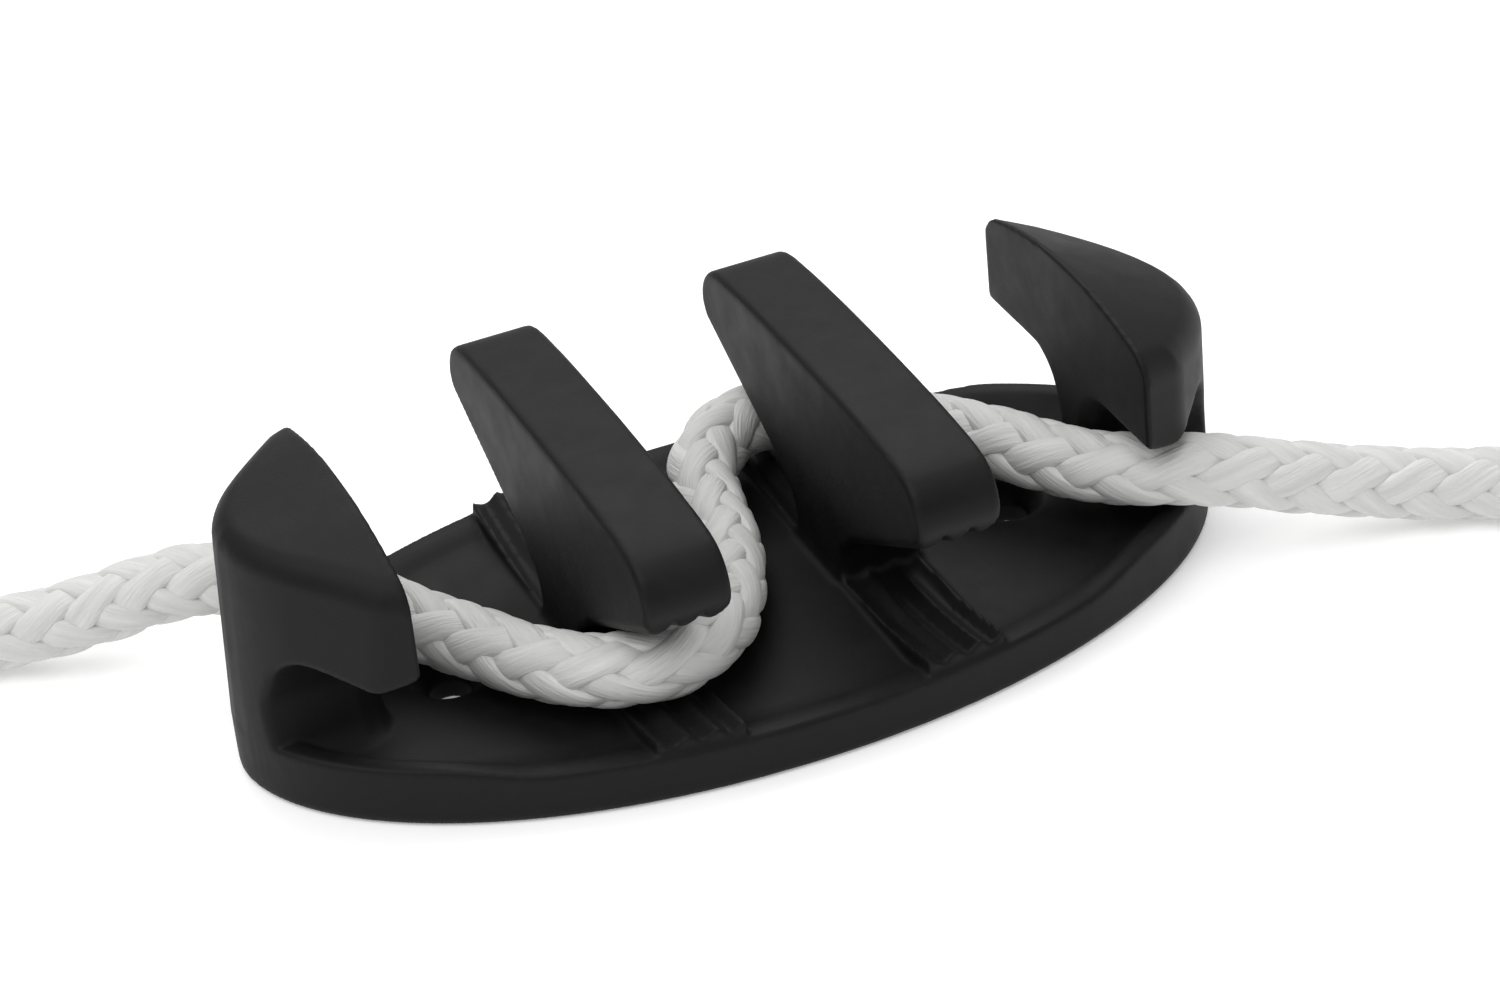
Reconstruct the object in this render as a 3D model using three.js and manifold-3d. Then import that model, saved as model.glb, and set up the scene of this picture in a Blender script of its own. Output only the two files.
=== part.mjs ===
// Zig-zag rope cleat with four horns and the line that is jammed in it.
// Millimetres, +Z up, standing on z = 0. X runs along the base, -Y is the front.
import * as THREE from "three";
import { mergeVertices } from "three/addons/utils/BufferGeometryUtils.js";
import Module from "manifold-3d";

const wasm = await Module();
wasm.setup();

// base plate
const LENGTH = 88.9; // 3.5 in
const WIDTH = 46.0;
const END_POWER = 2.03; // plan outline is a superellipse
const SIDE_POWER = 1.85;
const RIM_Z = 4.4;
const FLOOR_Z = 3.5;
const FOOT_CHAMFER = 0.75;
const RIM_CHAMFER = 0.25;
const RIM_WIDTH = 1.7;
const FLOOR_SLOPE = 2.0; // plan width of the slope from rim to floor
const SILL_Z = 5.5; // the rim rises to this under the end horns
const RAMP = [24.0, 8.5]; // where the rise begins, and how long it is
const OUTLINE_STEPS = 96;

// mounting holes, one each side of the two inner horns
const HOLE_X = 26.0;
const HOLE_R = 1.8;
const SINK_R = 3.3;

// inner horns, the two T-shaped bars
const INNER_X = 11.9;
const INNER_W = 7.5;
const INNER_STEM = 4.6; // half width of the stem, front to back
const INNER_TOP_Z = 23.2;
const INNER_BEVEL = 0.45;
const TOOTH_PITCH = 2.4;
const TOOTH_DEPTH = 1.1;
const THROAT_IN = [5.4, 7.6]; // y, z of the tooth tips at the stem
const THROAT_OUT = [20.4, 15.4]; // y, z of the tooth tips at the arm's end

// toothed pads in the base, under the inner horns' arms
const PAD_CREST = [[4.9, 3.95], [13.0, 4.35], [18.0, 5.1], [23.5, 6.2]]; // y, z
const PAD_DEPTH = 0.8;
const PAD_INSET = 0.4;

// end horns, D-shaped in plan, their outer wall carries on from the base's
const END_X = 32.5; // flat inner face
const END_TOP_Z = 25.2;
const END_ARCH = 0.0115; // fall of the top with y squared
const END_FALL = [0.13, 0.46]; // fall of the top outwards, left and right
const END_DRAFT = [1.0, 0.0]; // how far the outer wall leans in at the top, left and right
const END_REACH = 15.4; // half length, front to back
const END_STEM = [[32.5, 1.6], [33.4, 2.9], [35.0, 3.8], [46.5, 4.9]]; // x, half width of the stem
const END_CORNER = [36.9, 13.1]; // x, y of the upright edge between the arm's flat end and the wall
const END_TIP_Y = 15.35;
const WINDOW_TOP = 14.3;
const WINDOW_DROP = 1.5; // the arm's end comes lower at the outer wall

// line
const ROPE_D = 6.4; // 1/4 in
const ROPE_SIDES = 10;
const ROPE_STEPS = 78;
const ROPE_ROUTE = [
  [-71.5, 31.0, 3.3], [-65.0, 28.9, 3.3], [-58.8, 26.5, 3.5], [-53.0, 24.0, 4.5],
  [-47.8, 21.3, 6.3], [-44.4, 19.2, 7.8], [-41.0, 16.6, 8.9], [-37.6, 13.6, 9.4],
  [-34.4, 10.7, 9.4], [-31.2, 7.5, 8.9], [-28.3, 4.4, 7.8], [-25.7, 1.2, 7.1],
  [-23.3, -2.3, 7.0], [-21.2, -5.9, 7.0], [-18.9, -9.3, 7.3], [-15.9, -12.2, 7.7],
  [-12.1, -13.5, 7.8], [-8.5, -12.7, 7.7], [-5.5, -10.3, 7.3], [-3.2, -7.2, 7.0],
  [-1.5, -3.7, 7.0], [-0.1, 0.2, 7.0], [0.9, 4.4, 7.0], [1.7, 8.8, 7.2],
  [3.4, 12.9, 7.7], [6.8, 15.9, 8.2], [11.1, 16.5, 8.4], [15.4, 14.5, 8.2],
  [19.2, 10.9, 8.0], [22.7, 6.8, 8.2], [25.5, 2.7, 8.4], [27.9, -1.5, 8.6],
  [30.5, -5.8, 8.8], [33.7, -9.3, 9.1], [37.4, -11.8, 9.2], [41.6, -13.1, 8.3],
  [46.0, -13.9, 6.8], [50.5, -14.8, 5.4], [55.2, -16.1, 4.2], [60.2, -18.1, 3.5],
  [66.0, -20.9, 3.3], [72.0, -24.0, 3.3],
];

const nylon = () => new THREE.MeshStandardMaterial({ color: 0x1b1b1c, roughness: 0.55, metalness: 0 });
const braid = () => new THREE.MeshStandardMaterial({ color: 0xe6e6e2, roughness: 0.85, metalness: 0 });

function solid(geometry) {
  const bare = geometry.index ? geometry.toNonIndexed() : geometry.clone();
  bare.deleteAttribute("normal");
  bare.deleteAttribute("uv");
  const merged = mergeVertices(bare, 1e-4);
  return new wasm.Manifold(new wasm.Mesh({
    numProp: 3,
    vertProperties: new Float32Array(merged.attributes.position.array),
    triVerts: new Uint32Array(merged.index.array),
  }));
}

function node(name, made, material) {
  const m = made.getMesh();
  const stride = m.numProp;
  const xyz = new Float32Array(m.numVert * 3);
  for (let i = 0; i < m.numVert; i++) {
    for (let k = 0; k < 3; k++) xyz[3 * i + k] = m.vertProperties[stride * i + k];
  }
  const geometry = new THREE.BufferGeometry();
  geometry.setAttribute("position", new THREE.BufferAttribute(xyz, 3));
  geometry.setIndex(new THREE.BufferAttribute(new Uint32Array(m.triVerts), 1));
  geometry.computeVertexNormals();
  const mesh = new THREE.Mesh(geometry, material);
  mesh.name = name;
  return mesh;
}

// A closed skin through rings of equally many points, each end closed by a fan.
function loft(rings) {
  const n = rings[0].length;
  const points = rings.flat();
  const faces = [];
  rings.slice(1).forEach((_, k) => {
    for (let i = 0; i < n; i++) {
      const a = k * n + i, b = k * n + ((i + 1) % n);
      faces.push(a, b, b + n, a, b + n, a + n);
    }
  });
  for (const [first, flip] of [[0, true], [(rings.length - 1) * n, false]]) {
    const centre = new THREE.Vector3();
    for (let i = 0; i < n; i++) centre.add(new THREE.Vector3(...points[first + i]));
    const c = points.push(centre.divideScalar(n).toArray()) - 1;
    for (let i = 0; i < n; i++) {
      const a = first + i, b = first + ((i + 1) % n);
      faces.push(...(flip ? [b, a, c] : [a, b, c]));
    }
  }
  const g = new THREE.BufferGeometry();
  g.setAttribute("position", new THREE.Float32BufferAttribute(points.flat(), 3));
  g.setIndex(faces);
  return solid(g);
}

// Plan outline, set in by `inset`, at the height that `z(x, y)` gives.
function outline(inset, z) {
  const a = LENGTH / 2 - inset, b = WIDTH / 2 - inset;
  return Array.from({ length: OUTLINE_STEPS }, (_, i) => {
    const t = (2 * Math.PI * i) / OUTLINE_STEPS;
    const c = Math.cos(t), s = Math.sin(t);
    const x = a * Math.sign(c) * Math.abs(c) ** (2 / END_POWER);
    const y = b * Math.sign(s) * Math.abs(s) ** (2 / SIDE_POWER);
    return [x, y, typeof z === "function" ? z(x, y) : z];
  });
}

function box(x0, x1, y0, y1, z0, z1) {
  const g = new THREE.BoxGeometry(x1 - x0, y1 - y0, z1 - z0);
  return solid(g.translate((x0 + x1) / 2, (y0 + y1) / 2, (z0 + z1) / 2));
}

// Closed profile in (y, z), extruded along X from x0 to x1 with bevelled edges.
function bar(profile, x0, x1, bevel) {
  const shape = new THREE.Shape(profile.map(([y, z]) => new THREE.Vector2(y, z)));
  const g = new THREE.ExtrudeGeometry(shape, {
    depth: x1 - x0 - 2 * bevel, steps: 1, bevelEnabled: bevel > 0,
    bevelThickness: bevel, bevelSize: bevel, bevelOffset: -bevel, bevelSegments: 2,
  });
  const turn = new THREE.Matrix4().makeBasis(
    new THREE.Vector3(0, 1, 0), new THREE.Vector3(0, 0, 1), new THREE.Vector3(1, 0, 0));
  return solid(g.applyMatrix4(turn).translate(x0 + bevel, 0, 0));
}

function mirrored(half) {
  const back = half.filter(([y]) => y > 0).reverse();
  return [...half, ...back.map(([y, z]) => [-y, z])];
}

// Saw-tooth heights across an inner horn: crests at odd half pitches from its middle.
function sawRing(y, crest, x0, half) {
  const top = [];
  for (let k = -3; k <= 3; k++) {
    const x = x0 + Math.max(-half, Math.min(half, (k * TOOTH_PITCH) / 2));
    top.push([x, crest - (k % 2 === 0 ? PAD_DEPTH : 0)]);
  }
  top.unshift([x0 - half, crest - 0.15]);
  top.push([x0 + half, crest - 0.15]);
  return [[x0 + half, 1.5], ...top.reverse(), [x0 - half, 1.5]].map(([x, z]) => [x, y, z]);
}

function pad(x0, side) {
  const rings = PAD_CREST.map(([y, z]) => sawRing(side * y, z, x0, INNER_W / 2));
  if (side > 0) rings.reverse();
  return loft(rings).intersect(loft([outline(PAD_INSET, 1), outline(PAD_INSET, 9)]));
}

function screwHole(x) {
  const bore = new THREE.CylinderGeometry(HOLE_R, HOLE_R, 12, 28).rotateX(Math.PI / 2);
  const sink = new THREE.LatheGeometry([
    new THREE.Vector2(0, FLOOR_Z - SINK_R), new THREE.Vector2(SINK_R + 0.4, FLOOR_Z + 0.4),
    new THREE.Vector2(SINK_R + 0.4, 8), new THREE.Vector2(0, 8),
  ], 28).rotateX(Math.PI / 2);
  return solid(bore).add(solid(sink)).translate([x, 0, 0]);
}

// Height of the base's rim along its length.
function rimZ(x) {
  const t = Math.max(0, Math.min(1, (Math.abs(x) - RAMP[0]) / RAMP[1]));
  return RIM_Z + (SILL_Z - RIM_Z) * t * t * (3 - 2 * t);
}

// The foot of an end horn's stem, up from the recess's floor.
function stemSeat(end) {
  const flare = [[2.6, 1], [2.6, FLOOR_Z + 0.1], [1.6, 4.3], [0.9, SILL_Z]];
  const rings = END_STEM.map(([x, w]) => [
    ...flare.map(([out, z]) => [x, w + out, z]),
    ...flare.slice().reverse().map(([out, z]) => [x, -w - out, z]),
  ]);
  const made = loft(rings).intersect(loft([outline(0.3, 0.5), outline(0.3, 9)]));
  return end > 0 ? made : made.mirror([1, 0, 0]);
}

function basePlate() {
  const slab = loft([
    outline(FOOT_CHAMFER, 0), outline(0.2, 0.25), outline(0, FOOT_CHAMFER),
    outline(0, (x) => rimZ(x) - RIM_CHAMFER), outline(RIM_CHAMFER, rimZ),
  ]);
  const recess = loft([
    outline(RIM_WIDTH + FLOOR_SLOPE, FLOOR_Z), outline(RIM_WIDTH, (x) => rimZ(x) - 0.2),
    outline(RIM_WIDTH - 0.4, (x) => rimZ(x) + 1),
  ]);
  let made = slab.subtract(recess);
  for (const end of [-1, 1]) {
    for (const side of [-1, 1]) made = made.add(pad(end * INNER_X, side));
    made = made.add(stemSeat(end)).subtract(screwHole(end * HOLE_X));
  }
  return made;
}

// Grooves between the teeth under one arm, running along its sloping underside.
function grooves(x0, side) {
  const [yi, zi] = THROAT_IN, [yo, zo] = THROAT_OUT;
  const rise = (zo - zi) / (yo - yi);
  const ends = [yi + 1.2, yo + 4];
  return [-3, -1, 1, 3].map((k) => {
    const x = x0 + (k * TOOTH_PITCH) / 2;
    const rings = ends.map((y) => {
      const tip = zi + rise * (y - yi), w = TOOTH_PITCH * 0.46, deep = tip + TOOTH_DEPTH;
      const flat = [
        [-w, tip - 0.1], [-w, tip - 2], [w, tip - 2], [w, tip - 0.1], [0.25, deep], [-0.25, deep],
      ];
      return flat.map(([dx, z]) => [x + dx, side * y, z]);
    });
    return loft(side > 0 ? rings.reverse() : rings);
  });
}

function innerHorn(x0) {
  const top = INNER_TOP_Z;
  const half = [
    [0, top], [9, top - 0.12], [16, top - 0.5], [19.2, top - 0.95], [20.9, top - 1.8],
    [21.9, top - 3.1], [22.3, top - 4.6], [22.0, 17.4], [21.2, 16.4],
    [THROAT_OUT[0] + 0.3, THROAT_OUT[1] + 0.6], THROAT_OUT, THROAT_IN,
    [INNER_STEM + 0.15, 6.6], [INNER_STEM, 5.6], [INNER_STEM, FLOOR_Z - 1.5],
  ];
  const ring = mirrored(half).reverse();
  let made = bar(ring, x0 - INNER_W / 2, x0 + INNER_W / 2, INNER_BEVEL);
  for (const side of [-1, 1]) for (const g of grooves(x0, side)) made = made.subtract(g);
  return made.subtract(box(x0 - 20, x0 + 20, -30, 30, -5, FLOOR_Z));
}

// Height of an end horn's top at a point in plan.
const endTop = (x, y, fall) => END_TOP_Z - END_ARCH * y * y - fall * (Math.abs(x) - END_X);

// The plan outline with the arms' flat ends, as a ring below the top by dz.
function headRing(inset, dz, fall, draft) {
  const [cx, cy] = END_CORNER;
  const lean = (END_TIP_Y - cy) / (cx - END_X);
  const wallY = (WIDTH / 2) * (1 - (cx / (LENGTH / 2)) ** END_POWER) ** (1 / SIDE_POWER);
  return outline(inset + draft, 0).map(([x, y]) => {
    const past = Math.abs(x) - (cx - inset * 0.5);
    const reach = past < 0
      ? cy - inset * 0.9 - lean * past
      : Math.abs(y) + (cy - wallY) * Math.max(0, 1 - past / 4) ** 2;
    const flat = Math.sign(y) * (Math.abs(y) < 1e-9 ? 0 : Math.max(reach, 0.3));
    return [x, flat, endTop(x, flat, fall) + dz];
  });
}

function endHead(fall, draft) {
  const edge = [
    [0, -1.8], [0.15, -1.1], [0.5, -0.5], [1.0, -0.15], [1.7, 0], [5, 0], [8, 0], [11, 0], [14, 0],
  ];
  return loft([
    headRing(0, 0, fall, 0).map(([x, y]) => [x, y, SILL_Z]),
    ...edge.map(([inset, dz]) => headRing(inset, dz, fall, draft)),
  ]);
}

// Everything an end horn may fill, seen along X: head, stem and the two rope windows.
function endProfile(x, stem) {
  const out = Math.min(1, (x - END_X) / 3.5);
  const low = WINDOW_TOP - WINDOW_DROP * out, high = WINDOW_TOP + 0.3 * out;
  const half = [
    [0, 32], [END_REACH, 32], [END_REACH, low + 0.8], [END_REACH - 1.4, low],
    [stem + 5.0, high - 0.4 * out], [stem + 3.0, high - 0.4], [stem + 1.4, high - 1.8],
    [stem + 0.5, high - 3.8], [stem + 0.1, 9.2],
    [stem + 0.4, 7.2], [stem + 0.9, SILL_Z], [stem + 0.9, SILL_Z - 1],
  ];
  return mirrored(half).map(([y, z]) => [x, y, z]);
}

function endHorn(end) {
  const band = loft(END_STEM.map(([x, stem]) => endProfile(x, stem).reverse()));
  const which = end > 0 ? 1 : 0;
  const made = endHead(END_FALL[which], END_DRAFT[which]).intersect(band);
  const whole = made.subtract(box(0, 60, -30, 30, -5, SILL_Z));
  return end > 0 ? whole : whole.mirror([1, 0, 0]);
}

function rope() {
  const route = ROPE_ROUTE.map((p) => new THREE.Vector3(...p));
  const line = new THREE.CatmullRomCurve3(route, false, "centripetal");
  const round = new THREE.Shape();
  for (let i = 0; i < ROPE_SIDES; i++) {
    const t = (2 * Math.PI * (i + 0.5)) / ROPE_SIDES, r = ROPE_D / 2;
    round[i ? "lineTo" : "moveTo"](r * Math.cos(t), r * Math.sin(t));
  }
  const options = { steps: ROPE_STEPS, extrudePath: line, bevelEnabled: false };
  return solid(new THREE.ExtrudeGeometry(round, options));
}

const cleat = new THREE.Group();
cleat.name = "zigzag_rope_cleat";
cleat.add(node("base_plate", basePlate(), nylon()));
cleat.add(node("end_horn_left", endHorn(-1), nylon()));
cleat.add(node("inner_horn_left", innerHorn(-INNER_X), nylon()));
cleat.add(node("inner_horn_right", innerHorn(INNER_X), nylon()));
cleat.add(node("end_horn_right", endHorn(1), nylon()));
cleat.add(node("rope", rope(), braid()));
export default cleat;
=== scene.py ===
"""Looks of a zig-zag rope cleat: a black nylon moulding and the white braided line jammed in it."""
import math

import bmesh
import bpy
import numpy as np
from mathutils import Matrix, Vector


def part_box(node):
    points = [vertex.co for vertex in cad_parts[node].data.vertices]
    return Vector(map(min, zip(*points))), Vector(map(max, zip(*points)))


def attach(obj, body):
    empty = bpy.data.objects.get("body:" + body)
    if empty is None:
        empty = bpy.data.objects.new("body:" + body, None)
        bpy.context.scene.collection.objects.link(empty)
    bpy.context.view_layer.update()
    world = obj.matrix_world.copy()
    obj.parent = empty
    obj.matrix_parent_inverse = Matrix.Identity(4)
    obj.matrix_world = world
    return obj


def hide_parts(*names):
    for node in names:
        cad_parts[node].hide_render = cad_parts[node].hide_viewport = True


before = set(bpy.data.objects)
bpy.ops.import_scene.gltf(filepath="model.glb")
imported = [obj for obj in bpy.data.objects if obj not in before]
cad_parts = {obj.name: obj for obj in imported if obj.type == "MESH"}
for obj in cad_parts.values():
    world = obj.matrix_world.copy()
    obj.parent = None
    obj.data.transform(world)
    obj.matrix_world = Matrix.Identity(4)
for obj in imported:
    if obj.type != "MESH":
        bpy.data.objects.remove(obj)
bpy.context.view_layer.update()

MM = 0.001

# ---------------------------------------------------------------- camera

AZIMUTH, ELEVATION, ROLL = -20.63, 32.28, 5.87  # degrees
DISTANCE = 0.40062
TARGET = Vector((0.00314, 0.00194, 0.010))
LENS = 113.23


def make_camera():
    a, e, roll = (math.radians(v) for v in (AZIMUTH, ELEVATION, ROLL))
    back = Vector((math.sin(a) * math.cos(e), -math.cos(a) * math.cos(e), math.sin(e)))
    level = Vector((math.cos(a), math.sin(a), 0))
    above = back.cross(level)
    right = math.cos(roll) * level - math.sin(roll) * above
    up = back.cross(right)
    camera = bpy.data.objects.new("camera", bpy.data.cameras.new("camera"))
    turned = Matrix((right, up, back)).transposed().to_4x4()
    camera.matrix_world = Matrix.Translation(TARGET + back * DISTANCE) @ turned
    camera.data.lens = LENS
    camera.data.clip_start, camera.data.clip_end = 0.01, 20
    bpy.context.collection.objects.link(camera)
    bpy.context.scene.camera = camera


# ---------------------------------------------------------------- line

ROPE_D = 6.4
ROPE_ROUTE = [
    (-71.5, 31.0, 3.3), (-65.0, 28.9, 3.3), (-58.8, 26.5, 3.5), (-53.0, 24.0, 4.5),
    (-47.8, 21.3, 6.3), (-44.4, 19.2, 7.8), (-41.0, 16.6, 8.9), (-37.6, 13.6, 9.4),
    (-34.4, 10.7, 9.4), (-31.2, 7.5, 8.9), (-28.3, 4.4, 7.8), (-25.7, 1.2, 7.1),
    (-23.3, -2.3, 7.0), (-21.2, -5.9, 7.0), (-18.9, -9.3, 7.3), (-15.9, -12.2, 7.7),
    (-12.1, -13.5, 7.8), (-8.5, -12.7, 7.7), (-5.5, -10.3, 7.3), (-3.2, -7.2, 7.0),
    (-1.5, -3.7, 7.0), (-0.1, 0.2, 7.0), (0.9, 4.4, 7.0), (1.7, 8.8, 7.2),
    (3.4, 12.9, 7.7), (6.8, 15.9, 8.2), (11.1, 16.5, 8.4), (15.4, 14.5, 8.2),
    (19.2, 10.9, 8.0), (22.7, 6.8, 8.2), (25.5, 2.7, 8.4), (27.9, -1.5, 8.6),
    (30.5, -5.8, 8.8), (33.7, -9.3, 9.1), (37.4, -11.8, 9.2), (41.6, -13.1, 8.3),
    (46.0, -13.9, 6.8), (50.5, -14.8, 5.4), (55.2, -16.1, 4.2), (60.2, -18.1, 3.5),
    (66.0, -20.9, 3.3), (72.0, -24.0, 3.3),
]
STRANDS_EACH_WAY = 6
STRAND_PITCH = 5.3  # along the line, from one strand to the next of the same hand
STRAND_HALF_WIDTH = 1.36
STRAND_HALF_THICK = 0.8
BRAID_RADIUS = 2.06  # strand centres, mean
BRAID_WAVE = 0.36  # in and out as strands pass over and under each other
YARN_GROOVE = 0.05  # three yarns lie side by side in a strand
CORE_RADIUS = 1.7
STEP = 0.42
STRAND_SIDES = 18


def smooth_route(points, step):
    """Evenly spaced points along a centripetal Catmull-Rom curve, and their distance along it."""
    p = np.array(points, float)
    p = np.vstack([2 * p[0] - p[1], p, 2 * p[-1] - p[-2]])
    fine = []
    for a, b, c, d in zip(p, p[1:], p[2:], p[3:]):
        t0 = 0.0
        t1 = t0 + np.linalg.norm(b - a) ** 0.5
        t2 = t1 + np.linalg.norm(c - b) ** 0.5
        t3 = t2 + np.linalg.norm(d - c) ** 0.5
        t = np.linspace(t1, t2, 24, endpoint=False)[:, None]
        ab = ((t1 - t) * a + (t - t0) * b) / (t1 - t0)
        bc = ((t2 - t) * b + (t - t1) * c) / (t2 - t1)
        cd = ((t3 - t) * c + (t - t2) * d) / (t3 - t2)
        abc = ((t2 - t) * ab + (t - t0) * bc) / (t2 - t0)
        bcd = ((t3 - t) * bc + (t - t1) * cd) / (t3 - t1)
        fine.append(((t2 - t) * abc + (t - t1) * bcd) / (t2 - t1))
    fine = np.vstack(fine + [p[-2:-1]])
    along = np.concatenate([[0], np.cumsum(np.linalg.norm(np.diff(fine, axis=0), axis=1))])
    s = np.linspace(0, along[-1], int(round(along[-1] / step)) + 1)
    return np.stack([np.interp(s, along, fine[:, k]) for k in range(3)], 1), s


def carried_frames(line):
    """Tangents, and two normals carried along the line without twist."""
    tangent = np.gradient(line, axis=0)
    tangent /= np.linalg.norm(tangent, axis=1, keepdims=True)
    side = np.zeros_like(line)
    n = np.cross(tangent[0], (0, 0, 1.0))
    for i, t in enumerate(tangent):
        n = n - t * n.dot(t)
        n /= np.linalg.norm(n)
        side[i] = n
    return tangent, side, np.cross(tangent, side)


def mesh_object(name, points, faces, smooth=True):
    mesh = bpy.data.meshes.new(name)
    mesh.from_pydata([tuple(p) for p in points], [], faces)
    mesh.validate()
    mesh.polygons.foreach_set("use_smooth", [smooth] * len(mesh.polygons))
    made = bpy.data.objects.new(name, mesh)
    bpy.context.collection.objects.link(made)
    return made


def tube_faces(first, rings, sides):
    """Quads round a tube, and a fan-free cap at each end."""
    faces = []
    for k in range(rings - 1):
        for i in range(sides):
            j = (i + 1) % sides
            a, b = first + k * sides, first + (k + 1) * sides
            faces.append((a + i, a + j, b + j, b + i))
    faces.append(tuple(first + i for i in reversed(range(sides))))
    faces.append(tuple(first + (rings - 1) * sides + i for i in range(sides)))
    return faces


def strand_rings(line, s, frames, hand, index):
    """Points of one strand's tube: hand is +1 or -1, the way it winds."""
    _, side, other = frames
    lay = STRAND_PITCH * STRANDS_EACH_WAY
    crossing = s * 2 * STRANDS_EACH_WAY / lay
    turn = 2 * math.pi * (index / STRANDS_EACH_WAY + hand * s / lay)
    phase = 2 * index + hand * crossing - 0.5
    wave = hand * np.tanh(1.6 * np.cos(math.pi / 2 * phase)) / math.tanh(1.6)
    end = np.minimum(s, s[-1] - s)
    gather = np.clip(end / 2.6, 0, 1) ** 0.5  # heat-sealed ends draw the strands in
    radius = (BRAID_RADIUS + BRAID_WAVE * wave) * (0.55 + 0.45 * gather)
    out = side * np.cos(turn)[:, None] + other * np.sin(turn)[:, None]
    centre = line + out * radius[:, None]
    run = np.gradient(centre, axis=0)
    run /= np.linalg.norm(run, axis=1, keepdims=True)
    across = np.cross(out, run)
    across /= np.linalg.norm(across, axis=1, keepdims=True)
    out = np.cross(run, across)
    slack = 1 + 0.07 * np.sin(s * 0.83 + 2.1 * index) * np.sin(s * 0.31 + hand)  # no strand is quite even
    rings = []
    for i in range(STRAND_SIDES):
        c, d = math.cos(2 * math.pi * i / STRAND_SIDES), math.sin(2 * math.pi * i / STRAND_SIDES)
        valleys = sum(math.exp(-((c - k) / 0.12) ** 2) for k in (-0.36, 0.36))
        w = STRAND_HALF_WIDTH * c
        h = STRAND_HALF_THICK * math.copysign(abs(d) ** 0.85, d) * (1 - YARN_GROOVE * valleys)
        rings.append(centre + (across * w + out * h) * (slack * (0.4 + 0.6 * gather))[:, None])
    return np.stack(rings, 1)


def core_rings(line, s, frames, radius, sides):
    """A plain tube inside the braid, so that no light shows through it."""
    thin = 0.5 + 0.5 * np.clip(np.minimum(s, s[-1] - s) / 2.6, 0, 1) ** 0.5
    turns = [2 * math.pi * i / sides for i in range(sides)]
    _, side, other = frames
    return np.stack([line + radius * thin[:, None] * (side * math.cos(t) + other * math.sin(t)) for t in turns], 1)


def make_rope():
    line, s = smooth_route(ROPE_ROUTE, STEP)
    frames = carried_frames(line)
    rng = np.random.default_rng(7)
    width = STRAND_HALF_WIDTH * np.cos(2 * math.pi * np.arange(STRAND_SIDES) / STRAND_SIDES)
    tubes = []
    for hand in (1, -1):
        for index in range(STRANDS_EACH_WAY):
            rings = strand_rings(line, s, frames, hand, index)
            tubes.append((rings, s + rng.uniform(0, 40), width + rng.uniform(0, 90)))
    tubes.append((core_rings(line, s, frames, CORE_RADIUS, 10), s, np.zeros(10)))
    points, faces, along, across, depth = [], [], [], [], []
    for rings, run, width in tubes:
        faces += tube_faces(sum(len(p) for p in points), len(s), rings.shape[1])
        points.append(rings.reshape(-1, 3))
        along.append(np.repeat(run, rings.shape[1]))
        across.append(np.tile(width, len(s)))
        # depth, the distance from the rope's axis, drives the painted shade that darkens the braid in the gaps
        # between strands
        depth.append(np.linalg.norm(rings - line[:, None], axis=2).reshape(-1) / (ROPE_D / 2))
    rope = mesh_object("braided_line", np.vstack(points) * MM, faces)
    for name, values in (("along", along), ("across", across), ("depth", depth)):
        attribute = rope.data.attributes.new(name, "FLOAT", "POINT")
        attribute.data.foreach_set("value", np.concatenate(values).astype(np.float32))
    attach(rope, "root")
    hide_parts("rope")
    return rope


# ---------------------------------------------------------------- moulding

base_high = np.array(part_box("base_plate")[1]) / MM
inner_low, inner_high = (np.array(v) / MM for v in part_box("inner_horn_right"))
end_low = np.array(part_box("end_horn_right")[0]) / MM

HALF_LENGTH, HALF_WIDTH = base_high[0], base_high[1]
END_POWER, SIDE_POWER = 2.03, 1.85
RIM_Z, FLOOR_Z, SILL_Z = 4.4, 3.5, 5.5
RAMP = (24.0, 8.5)  # the rim rises to SILL_Z from here, over this length
RIM_WIDTH, FLOOR_SLOPE = 1.7, 2.0
HOLE_X, HOLE_R, SINK_R = 26.0, 1.8, 3.3
PAD_CREST = ((4.9, 3.95), (13.0, 4.35), (18.0, 5.1), (23.5, 6.2))
PAD_DEPTH, PAD_INSET = 0.8, 0.4
TOOTH_PITCH, TOOTH_DEPTH = 2.4, 1.1
THROAT_IN, THROAT_OUT = (5.4, 7.6), (20.4, 15.4)
INNER_X, INNER_W = (inner_low[0] + inner_high[0]) / 2, inner_high[0] - inner_low[0]
INNER_TOP_Z, INNER_STEM = inner_high[2], 4.6
END_X, END_TOP_Z = end_low[0], 25.2
END_ARCH, END_FALL = 0.0115, (0.13, 0.46)  # the fall outwards is the left's and the right's
END_DRAFT = (0.054, 0.0)  # lean of the outer wall, left and right
END_REACH, END_TIP_Y = 15.4, 15.35
END_CORNER = (36.9, 13.1)
END_STEM = ((32.5, 1.6), (33.4, 2.9), (35.0, 3.8), (46.5, 4.9))
WINDOW_TOP, WINDOW_DROP = 14.3, 1.5
CUT_Z = 6.5  # the horns are parted from the base here

CELL = 0.3
CORNERS = [(i, j, k) for i in (0, 1) for j in (0, 1) for k in (0, 1)]  # of a grid cell
FAR = 50.0


def meet(a, b, r):
    """What is inside both fields, with its edge rounded to radius r."""
    return np.minimum(np.maximum(a, b), -r) + np.hypot(np.maximum(a + r, 0), np.maximum(b + r, 0))


def join(a, b, r):
    """What is inside either field, with a fillet of radius r between them."""
    return -meet(-a, -b, r)


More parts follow.
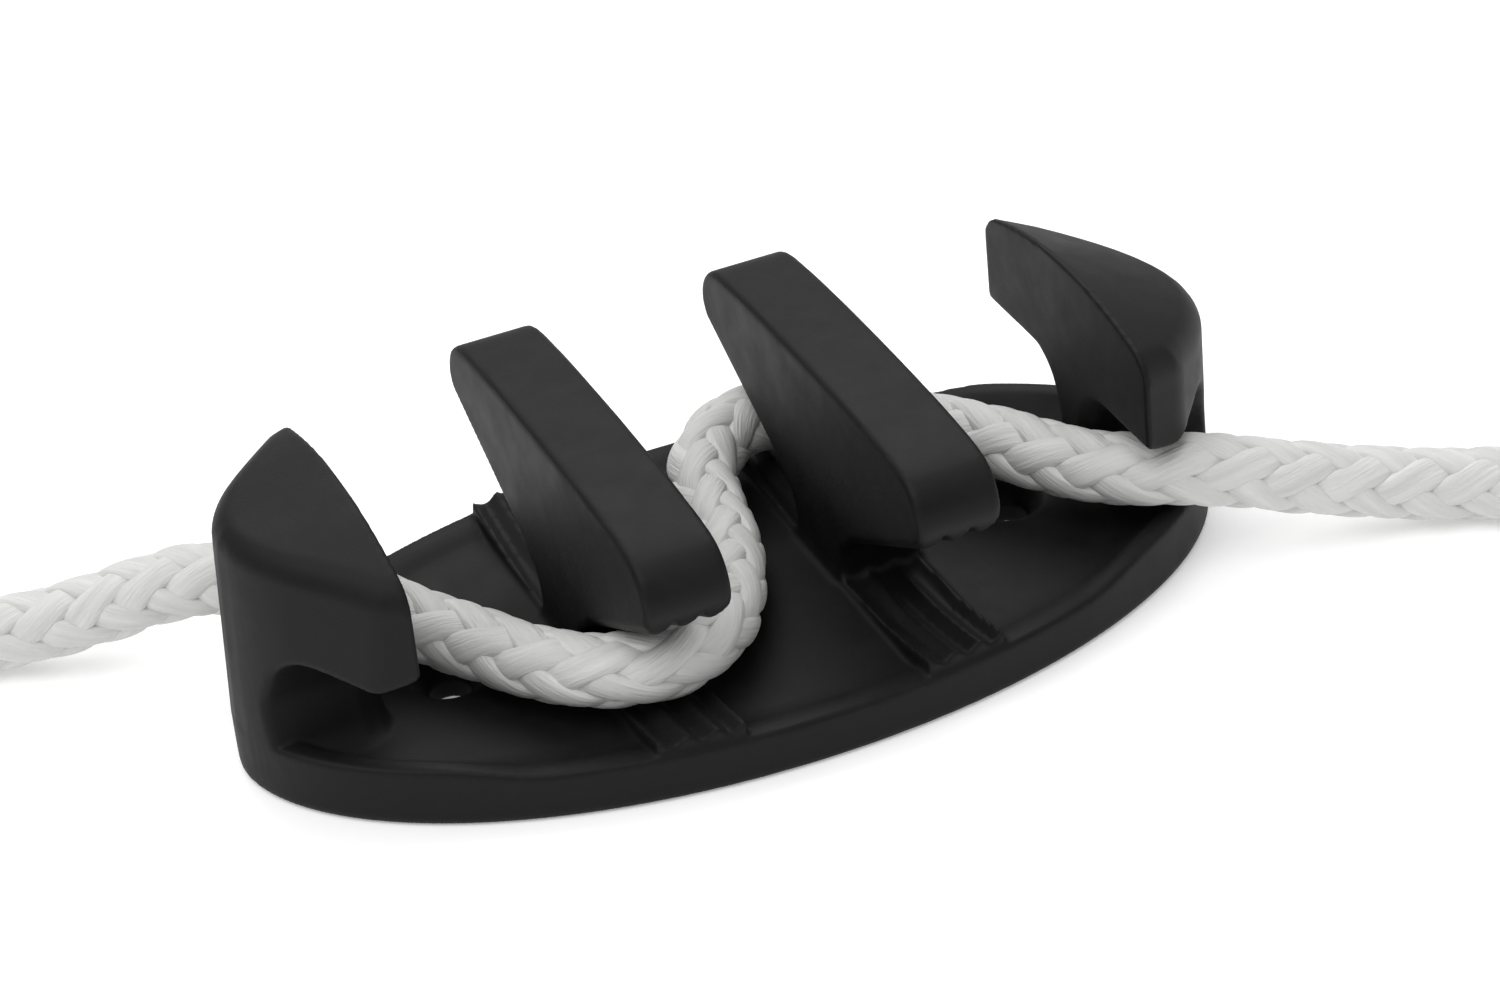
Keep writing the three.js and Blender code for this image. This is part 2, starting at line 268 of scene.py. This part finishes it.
def polygon(px, py, corners):
    """Signed distance in a plane to a closed outline, whose corners may change with px and py."""
    best = np.full(np.broadcast(px, py, corners[0][0], corners[0][1]).shape, FAR ** 2)
    inside = np.zeros(best.shape, bool)
    for (ax, ay), (bx, by) in zip(corners, corners[1:] + corners[:1]):
        ex, ey = bx - ax, by - ay
        wx, wy = px - ax, py - ay
        t = np.clip((wx * ex + wy * ey) / np.maximum(ex * ex + ey * ey, 1e-12), 0, 1)
        best = np.minimum(best, (wx - ex * t) ** 2 + (wy - ey * t) ** 2)
        inside ^= ((ay > py) != (by > py)) & (px < ex * (py - ay) / np.where(ey == 0, 1e-9, ey) + ax)
    return np.where(inside, -1, 1) * np.sqrt(best)


def rounded(corners, per_side=6):
    """A smooth curve through the corners of an open outline."""
    p = [corners[0]] + list(corners) + [corners[-1]]
    made = []
    for a, b, c, d in zip(p, p[1:], p[2:], p[3:]):
        for i in range(per_side):
            t = i / per_side
            made.append(tuple(0.5 * (2 * b[k] + (c[k] - a[k]) * t + (2 * a[k] - 5 * b[k] + 4 * c[k] - d[k]) * t * t
                                     + (3 * b[k] - a[k] - 3 * c[k] + d[k]) * t ** 3) for k in (0, 1)))
    return made + [corners[-1]]


def plan_wall(x):
    """Half width of the plan outline at x."""
    return HALF_WIDTH * np.maximum(0, 1 - (np.abs(x) / HALF_LENGTH) ** END_POWER) ** (1 / SIDE_POWER)


def saw(x, middle, depth, sharp=1):
    """Depth of the valleys across a horn: 0 on its middle line and a pitch from it, depth halfway."""
    phase = np.abs(((x - middle) / TOOTH_PITCH + 0.5) % 1 - 0.5) * 2
    return depth * (np.sqrt(phase ** 2 + 0.012) / math.sqrt(1.012)) ** sharp


def base_field(x, y, z, plan):
    t = np.clip((x - RAMP[0]) / RAMP[1], 0, 1)
    rim = RIM_Z + (SILL_Z - RIM_Z) * t * t * (3 - 2 * t)
    slab = meet(meet(plan, -z, 0.75), z - rim, 0.4)
    slope = ((rim - FLOOR_Z) * (plan + RIM_WIDTH) - FLOOR_SLOPE * (z - rim)) / np.hypot(FLOOR_SLOPE, rim - FLOOR_Z)
    hollow = meet(slope, FLOOR_Z - z, 0.5)
    made = meet(slab, -hollow, 0.35)
    crest = np.interp(y, *zip(*PAD_CREST))
    ridge = (z - crest + PAD_DEPTH - saw(x, INNER_X, PAD_DEPTH)) * 0.85
    pad = meet(meet(ridge, np.abs(x - INNER_X) - INNER_W / 2, 0.25), np.maximum(plan + PAD_INSET, 1 - z), 0.2)
    made = join(made, pad, 0.25)
    from_hole = np.hypot(x - HOLE_X, y)
    sink = (from_hole - SINK_R + (FLOOR_Z - z)) / math.sqrt(2)
    hole = np.minimum(from_hole - HOLE_R, sink)
    return meet(made, -hole, 0.2)


def inner_field(x, y, z):
    top = INNER_TOP_Z
    arm = rounded([(0, top), (9, top - 0.12), (16, top - 0.5), (19.2, top - 0.95), (20.9, top - 1.8),
                   (21.9, top - 3.1), (22.3, top - 4.6), (22.0, 17.4), (21.2, 16.2), THROAT_OUT])
    stem = [THROAT_IN, (INNER_STEM + 0.3, 6.8), (INNER_STEM + 0.05, 5.8), (INNER_STEM, 4.6), (INNER_STEM, 1)]
    half = arm + stem
    ring = half + [(-py, pz) for py, pz in reversed(half) if py > 0]
    flat = polygon(y[0, :, 0][:, None], z[0, 0, :][None, :], ring)[None]
    rise = (THROAT_OUT[1] - THROAT_IN[1]) / (THROAT_OUT[0] - THROAT_IN[0])
    lean = 1 / math.hypot(1, rise)
    depth = (z - THROAT_IN[1] - rise * (y - THROAT_IN[0])) * lean
    valley = saw(x, INNER_X, TOOTH_DEPTH * lean, 1.8)
    starts = np.clip((y - THROAT_IN[0] - 0.3) / 1.6, 0, 1)
    teeth = (valley * starts - depth) * 0.75
    teeth = np.where((y > THROAT_IN[0]) & (z < 17.5), teeth, -FAR)
    made = meet(flat, np.abs(x - INNER_X) - INNER_W / 2, 0.6)
    return np.maximum(made, teeth)


def end_field(x, y, z, slant, draft):
    cx, cy = END_CORNER
    lean = (END_TIP_Y - cy) / (cx - END_X)
    flat_end = (y - cy + lean * (x - cx)) / math.hypot(1, lean)
    xs = np.linspace(28, HALF_LENGTH, 60)
    past = np.clip(1 - (xs - cx) / 4, 0, 2) ** 2
    wall = plan_wall(xs) + (cy - plan_wall(cx)) * past
    outline = list(zip(xs, wall)) + list(zip(xs[::-1], -wall[::-1]))
    wall = polygon(x[:, 0, 0][:, None], y[0, :, 0][None, :], outline)[:, :, None]
    wall = wall + draft * np.maximum(z - SILL_Z, 0)
    plan = meet(wall, flat_end, 0.4)
    height = END_TOP_Z - END_ARCH * y * y - slant * (x - END_X)
    top = (z - height) / np.sqrt(1 + slant ** 2 + (2 * END_ARCH * y) ** 2)
    head = meet(plan, top, 1.8)
    stem = np.interp(x, *zip(*END_STEM))
    out = np.clip((x - END_X) / 3.5, 0, 1)
    low, high = WINDOW_TOP - WINDOW_DROP * out, WINDOW_TOP + 0.3 * out
    lift = [(END_REACH + 3, low + 1.2), (END_REACH, low + 0.3), (END_REACH - 1.4, low),
            (stem + 5.0, high - 0.4 * out), (stem + 3.0, high - 0.5), (stem + 1.4, high - 1.8),
            (stem + 0.5, high - 3.8), (stem + 0.1, 9.2),
            (stem + 0.4, 7.2), (stem + 0.9, 5.5), (stem + 1.6, 4.3), (stem + 2.6, FLOOR_Z)]
    half = [(0, 40), (END_REACH + 3, 40)] + rounded(lift, 4) + [(stem + 2.6, 0)]
    band = polygon(y, z, half + [(-py, pz) for py, pz in reversed(half[1:])])
    made = meet(head, band, 0.5)
    return meet(meet(made, END_X - x, 0.4), 1 - z, 0.1)


def moulding_field():
    """The whole moulding as a field on a grid, worked out in one quarter and mirrored."""
    x, y, z = np.meshgrid(
        (np.arange(math.ceil(HALF_LENGTH / CELL) + 3) + 0.5) * CELL,
        (np.arange(math.ceil(HALF_WIDTH / CELL) + 3) + 0.5) * CELL,
        (np.arange(math.ceil(END_TOP_Z / CELL) + 6) - 2.5) * CELL, indexing="ij")
    t = np.linspace(0, 2 * math.pi, 480, endpoint=False)
    c, s = np.cos(t), np.sin(t)
    ring = list(zip(HALF_LENGTH * np.sign(c) * np.abs(c) ** (2 / END_POWER),
                    HALF_WIDTH * np.sign(s) * np.abs(s) ** (2 / SIDE_POWER)))
    plan = polygon(x[:, 0, 0][:, None], y[0, :, 0][None, :], ring)[:, :, None]
    field = base_field(x, y, z, plan)
    fillet = 0.8 * np.clip((-plan - 0.2) / 1.2, 0, 1)  # none where the walls run on into each other
    near = slice(int((INNER_X - INNER_W / 2 - 2) / CELL), int((INNER_X + INNER_W / 2 + 2) / CELL))
    field[near] = join(field[near], inner_field(x[near], y[near], z[near]), fillet[near])
    near = slice(int((END_X - 2) / CELL), None)
    halves = [field.copy(), field]
    for half, slant, draft in zip(halves, END_FALL, END_DRAFT):
        horn = end_field(x[near], y[near], z[near], slant, draft)
        half[near] = join(half[near], horn, 0.6 * fillet[near])
    field = np.concatenate([halves[0][::-1], halves[1]])
    field = np.concatenate([field[:, ::-1], field], 1)
    low = np.array([-x.max(), -y.max(), z.min()])
    return field, low


def corner_view(values, c):
    """The grid's values at corner c of every cell."""
    n = values.shape
    return values[c[0]:n[0] - 1 + c[0], c[1]:n[1] - 1 + c[1], c[2]:n[2] - 1 + c[2]]


def cell_points(field, cells):
    """The middle, in each cell, of the places where its edges cross the surface."""
    total, crossings = np.zeros((len(cells), 3)), np.zeros(len(cells))
    for a in CORNERS:
        for axis in range(3):
            if a[axis]:
                continue
            b = tuple(v + (k == axis) for k, v in enumerate(a))
            fa, fb = (field[tuple((cells + v).T)] for v in (a, b))
            hit = (fa < 0) != (fb < 0)
            spot = np.repeat(np.array(a, float)[None], len(cells), 0)
            spot[:, axis] = np.where(hit, fa / np.where(hit, fa - fb, 1), 0)
            total += spot * hit[:, None]
            crossings += hit
    return cells + total / crossings[:, None]


def edge_quads(inside, number, axis):
    """A quad round every grid edge along the axis that crosses the surface, facing out."""
    n = inside.shape
    u, v = (axis + 1) % 3, (axis + 2) % 3
    step = np.eye(3, dtype=int)
    lo = tuple(slice(1, n[k] - 1) if k != axis else slice(0, n[k] - 1) for k in range(3))
    hi = tuple(slice(1, n[k] - 1) if k != axis else slice(1, n[k]) for k in range(3))
    quads = []
    for out in (True, False):
        edge = np.argwhere((inside[lo] == out) & (inside[hi] != out)) + [int(k != axis) for k in range(3)]
        turns = ((1, 1), (0, 1), (0, 0), (1, 0))
        ring = np.stack([number[tuple((edge - step[u] * p - step[v] * q).T)] for p, q in turns], 1)
        quads.append(ring if out else ring[:, ::-1])
    return quads


def skin(field, low):
    """Points and quads of the surface where the field is zero: one point in each cell that it crosses."""
    inside = field < 0
    count = sum(corner_view(inside, c).astype(np.int8) for c in CORNERS)
    cells = np.argwhere((count > 0) & (count < 8))
    number = np.full(count.shape, -1)
    number[tuple(cells.T)] = np.arange(len(cells))
    quads = [q for axis in range(3) for q in edge_quads(inside, number, axis)]
    return cell_points(field, cells) * CELL + low, np.concatenate(quads)


def part_mesh(whole, name, keep_above, x_range):
    """One horn, or the base, cut out of the moulding and closed where it was cut."""
    bm = bmesh.new()
    bm.from_mesh(whole.data)
    bmesh.ops.bisect_plane(bm, geom=bm.verts[:] + bm.edges[:] + bm.faces[:], plane_co=(0, 0, CUT_Z * MM),
                           plane_no=(0, 0, 1), dist=1e-7, clear_inner=keep_above, clear_outer=not keep_above)
    if keep_above:
        far = [v for v in bm.verts if not x_range[0] * MM < v.co.x < x_range[1] * MM]
        bmesh.ops.delete(bm, geom=far, context="VERTS")
    rim = [e for e in bm.edges if len(e.link_faces) == 1]
    bmesh.ops.holes_fill(bm, edges=rim, sides=0)
    for e in rim:
        e.smooth = False
    for f in bm.faces:
        f.smooth = True
    mesh = bpy.data.meshes.new(name)
    bm.to_mesh(mesh)
    bm.free()
    made = bpy.data.objects.new(name, mesh)
    bpy.context.collection.objects.link(made)
    return made


def make_moulding():
    points, quads = skin(*moulding_field())
    whole = mesh_object("whole", points * MM, quads.tolist())
    half = (INNER_X + INNER_W / 2 + END_X) / 2
    parts = [("base", "base_plate", False, None),
             ("end_horn_left_skin", "end_horn_left", True, (-60, -half)),
             ("inner_horn_left_skin", "inner_horn_left", True, (-half, 0)),
             ("inner_horn_right_skin", "inner_horn_right", True, (0, half)),
             ("end_horn_right_skin", "end_horn_right", True, (half, 60))]
    made = []
    for name, node, above, x_range in parts:
        part = part_mesh(whole, name, above, x_range)
        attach(part, "root")
        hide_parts(node)
        made.append(part)
    bpy.data.objects.remove(whole, do_unlink=True)
    return made


# ---------------------------------------------------------------- materials

def shader(name):
    material = bpy.data.materials.new(name)
    material.use_nodes = True
    tree = material.node_tree
    return material, tree, tree.nodes["Principled BSDF"]


def noise(tree, vector, scale, detail=3.0, rough=0.5):
    node = tree.nodes.new("ShaderNodeTexNoise")
    node.inputs["Scale"].default_value = scale
    node.inputs["Detail"].default_value = detail
    node.inputs["Roughness"].default_value = rough
    tree.links.new(vector, node.inputs["Vector"])
    return node.outputs["Fac"]


def spread(tree, value, low, high):
    node = tree.nodes.new("ShaderNodeMapRange")
    node.inputs["From Min"].default_value, node.inputs["From Max"].default_value = 0.3, 0.7
    node.inputs["To Min"].default_value, node.inputs["To Max"].default_value = low, high
    tree.links.new(value, node.inputs["Value"])
    return node.outputs["Result"]


def blend_colours(tree, value, dark, light):
    node = tree.nodes.new("ShaderNodeMix")
    node.data_type = "RGBA"
    node.inputs["A"].default_value, node.inputs["B"].default_value = (*dark, 1), (*light, 1)
    tree.links.new(value, node.inputs["Factor"])
    return node.outputs["Result"]


def bump(tree, height, strength, distance, before=None):
    node = tree.nodes.new("ShaderNodeBump")
    node.inputs["Strength"].default_value = strength
    node.inputs["Distance"].default_value = distance
    tree.links.new(height, node.inputs["Height"])
    if before:
        tree.links.new(before, node.inputs["Normal"])
    return node.outputs["Normal"]


def nylon_material():
    material, tree, surface = shader("black_nylon")
    place = tree.nodes.new("ShaderNodeTexCoord").outputs["Object"]
    grain = noise(tree, place, 5200, 2.0, 0.6)
    mottle = noise(tree, place, 260, 4.0, 0.6)
    flow = noise(tree, place, 60, 2.0, 0.5)
    shade = blend_colours(tree, spread(tree, mottle, 0, 1), (0.0045, 0.0045, 0.0047), (0.0075, 0.0075, 0.0077))
    tree.links.new(shade, surface.inputs["Base Color"])
    tree.links.new(spread(tree, mottle, 0.5, 0.6), surface.inputs["Roughness"])
    soft = bump(tree, flow, 0.25, 0.0002)
    tree.links.new(bump(tree, grain, 0.5, 0.00003, soft), surface.inputs["Normal"])
    surface.inputs["Specular IOR Level"].default_value = 0.17
    return material


def attribute(tree, name):
    node = tree.nodes.new("ShaderNodeAttribute")
    node.attribute_name = name
    return node.outputs["Fac"]


def braid_material():
    material, tree, surface = shader("white_braid")
    place = tree.nodes.new("ShaderNodeCombineXYZ")
    tree.links.new(attribute(tree, "along"), place.inputs["X"])
    tree.links.new(attribute(tree, "across"), place.inputs["Y"])
    drawn = tree.nodes.new("ShaderNodeVectorMath")
    drawn.operation = "MULTIPLY"
    drawn.inputs[1].default_value = (0.35, 3.6, 1)
    tree.links.new(place.outputs["Vector"], drawn.inputs[0])
    fibre = noise(tree, drawn.outputs["Vector"], 1.0, 3.0, 0.6)
    soil = noise(tree, drawn.outputs["Vector"], 0.25, 2.0, 0.5)
    # painted shade: the braid goes from a 0.32 grey to its own white as its surface lies further out from the
    # rope's axis, so the gaps between strands and the core are painted darker where shade falls
    gap_shade_mask = tree.nodes.new("ShaderNodeMapRange")
    gap_shade_mask.inputs["From Min"].default_value, gap_shade_mask.inputs["From Max"].default_value = 0.5, 0.9
    tree.links.new(attribute(tree, "depth"), gap_shade_mask.inputs["Value"])
    light = blend_colours(tree, spread(tree, soil, 0, 1), (0.58, 0.58, 0.565), (0.69, 0.69, 0.68))
    painted_gap_shade = tree.nodes.new("ShaderNodeMix")
    painted_gap_shade.data_type = "RGBA"
    painted_gap_shade.inputs["A"].default_value = (0.32, 0.32, 0.31, 1)
    tree.links.new(gap_shade_mask.outputs["Result"], painted_gap_shade.inputs["Factor"])
    tree.links.new(light, painted_gap_shade.inputs["B"])
    tree.links.new(painted_gap_shade.outputs["Result"], surface.inputs["Base Color"])
    surface.inputs["Roughness"].default_value = 0.65
    surface.inputs["Specular IOR Level"].default_value = 0.3
    surface.inputs["Sheen Weight"].default_value = 0.1
    tree.links.new(bump(tree, fibre, 0.9, 0.0002), surface.inputs["Normal"])
    return material


def floor_material():
    material, _, surface = shader("pale_floor")
    surface.inputs["Base Color"].default_value = (0.9, 0.9, 0.9, 1)
    surface.inputs["Roughness"].default_value = 0.8
    surface.inputs["Emission Color"].default_value = (1, 1, 1, 1)
    surface.inputs["Emission Strength"].default_value = 0.25
    return material


# ---------------------------------------------------------------- studio

LAMPS = (("key", (-0.5, -0.2, 1.0), 0.8, 5.0), ("back", (0.3, 0.7, 0.9), 0.9, 5.0))
SKY = (0.18, 0.92)  # brightness at the horizon and overhead


def make_world():
    """A soft white room, darker near the horizon than overhead."""
    world = bpy.data.worlds.new("studio")
    world.use_nodes = True
    tree = world.node_tree
    split = tree.nodes.new("ShaderNodeSeparateXYZ")
    tree.links.new(tree.nodes.new("ShaderNodeTexCoord").outputs["Generated"], split.inputs["Vector"])
    rise = tree.nodes.new("ShaderNodeMapRange")
    rise.inputs["From Min"].default_value, rise.inputs["From Max"].default_value = 0.1, 0.8
    rise.inputs["To Min"].default_value, rise.inputs["To Max"].default_value = SKY
    tree.links.new(split.outputs["Z"], rise.inputs["Value"])
    tree.links.new(rise.outputs["Result"], tree.nodes["Background"].inputs["Strength"])
    tree.nodes["Background"].inputs["Color"].default_value = (1, 1, 1, 1)
    bpy.context.scene.world = world


def make_studio():
    bpy.ops.mesh.primitive_plane_add(size=6, location=(0, 0, 0))
    floor = bpy.context.object
    floor.name = "floor"
    floor.data.materials.append(floor_material())
    make_world()
    bpy.context.scene.view_settings.view_transform = "Standard"
    for name, place, size, power in LAMPS:
        lamp = bpy.data.objects.new(name, bpy.data.lights.new(name, "AREA"))
        lamp.data.size, lamp.data.energy = size, power
        lamp.location = place
        lamp.rotation_mode = "QUATERNION"
        lamp.rotation_quaternion = Vector(place).to_track_quat("Z", "Y")
        bpy.context.collection.objects.link(lamp)


make_camera()
rope = make_rope()
rope.data.materials.append(braid_material())
nylon = nylon_material()
for part in make_moulding():
    part.data.materials.append(nylon)
make_studio()
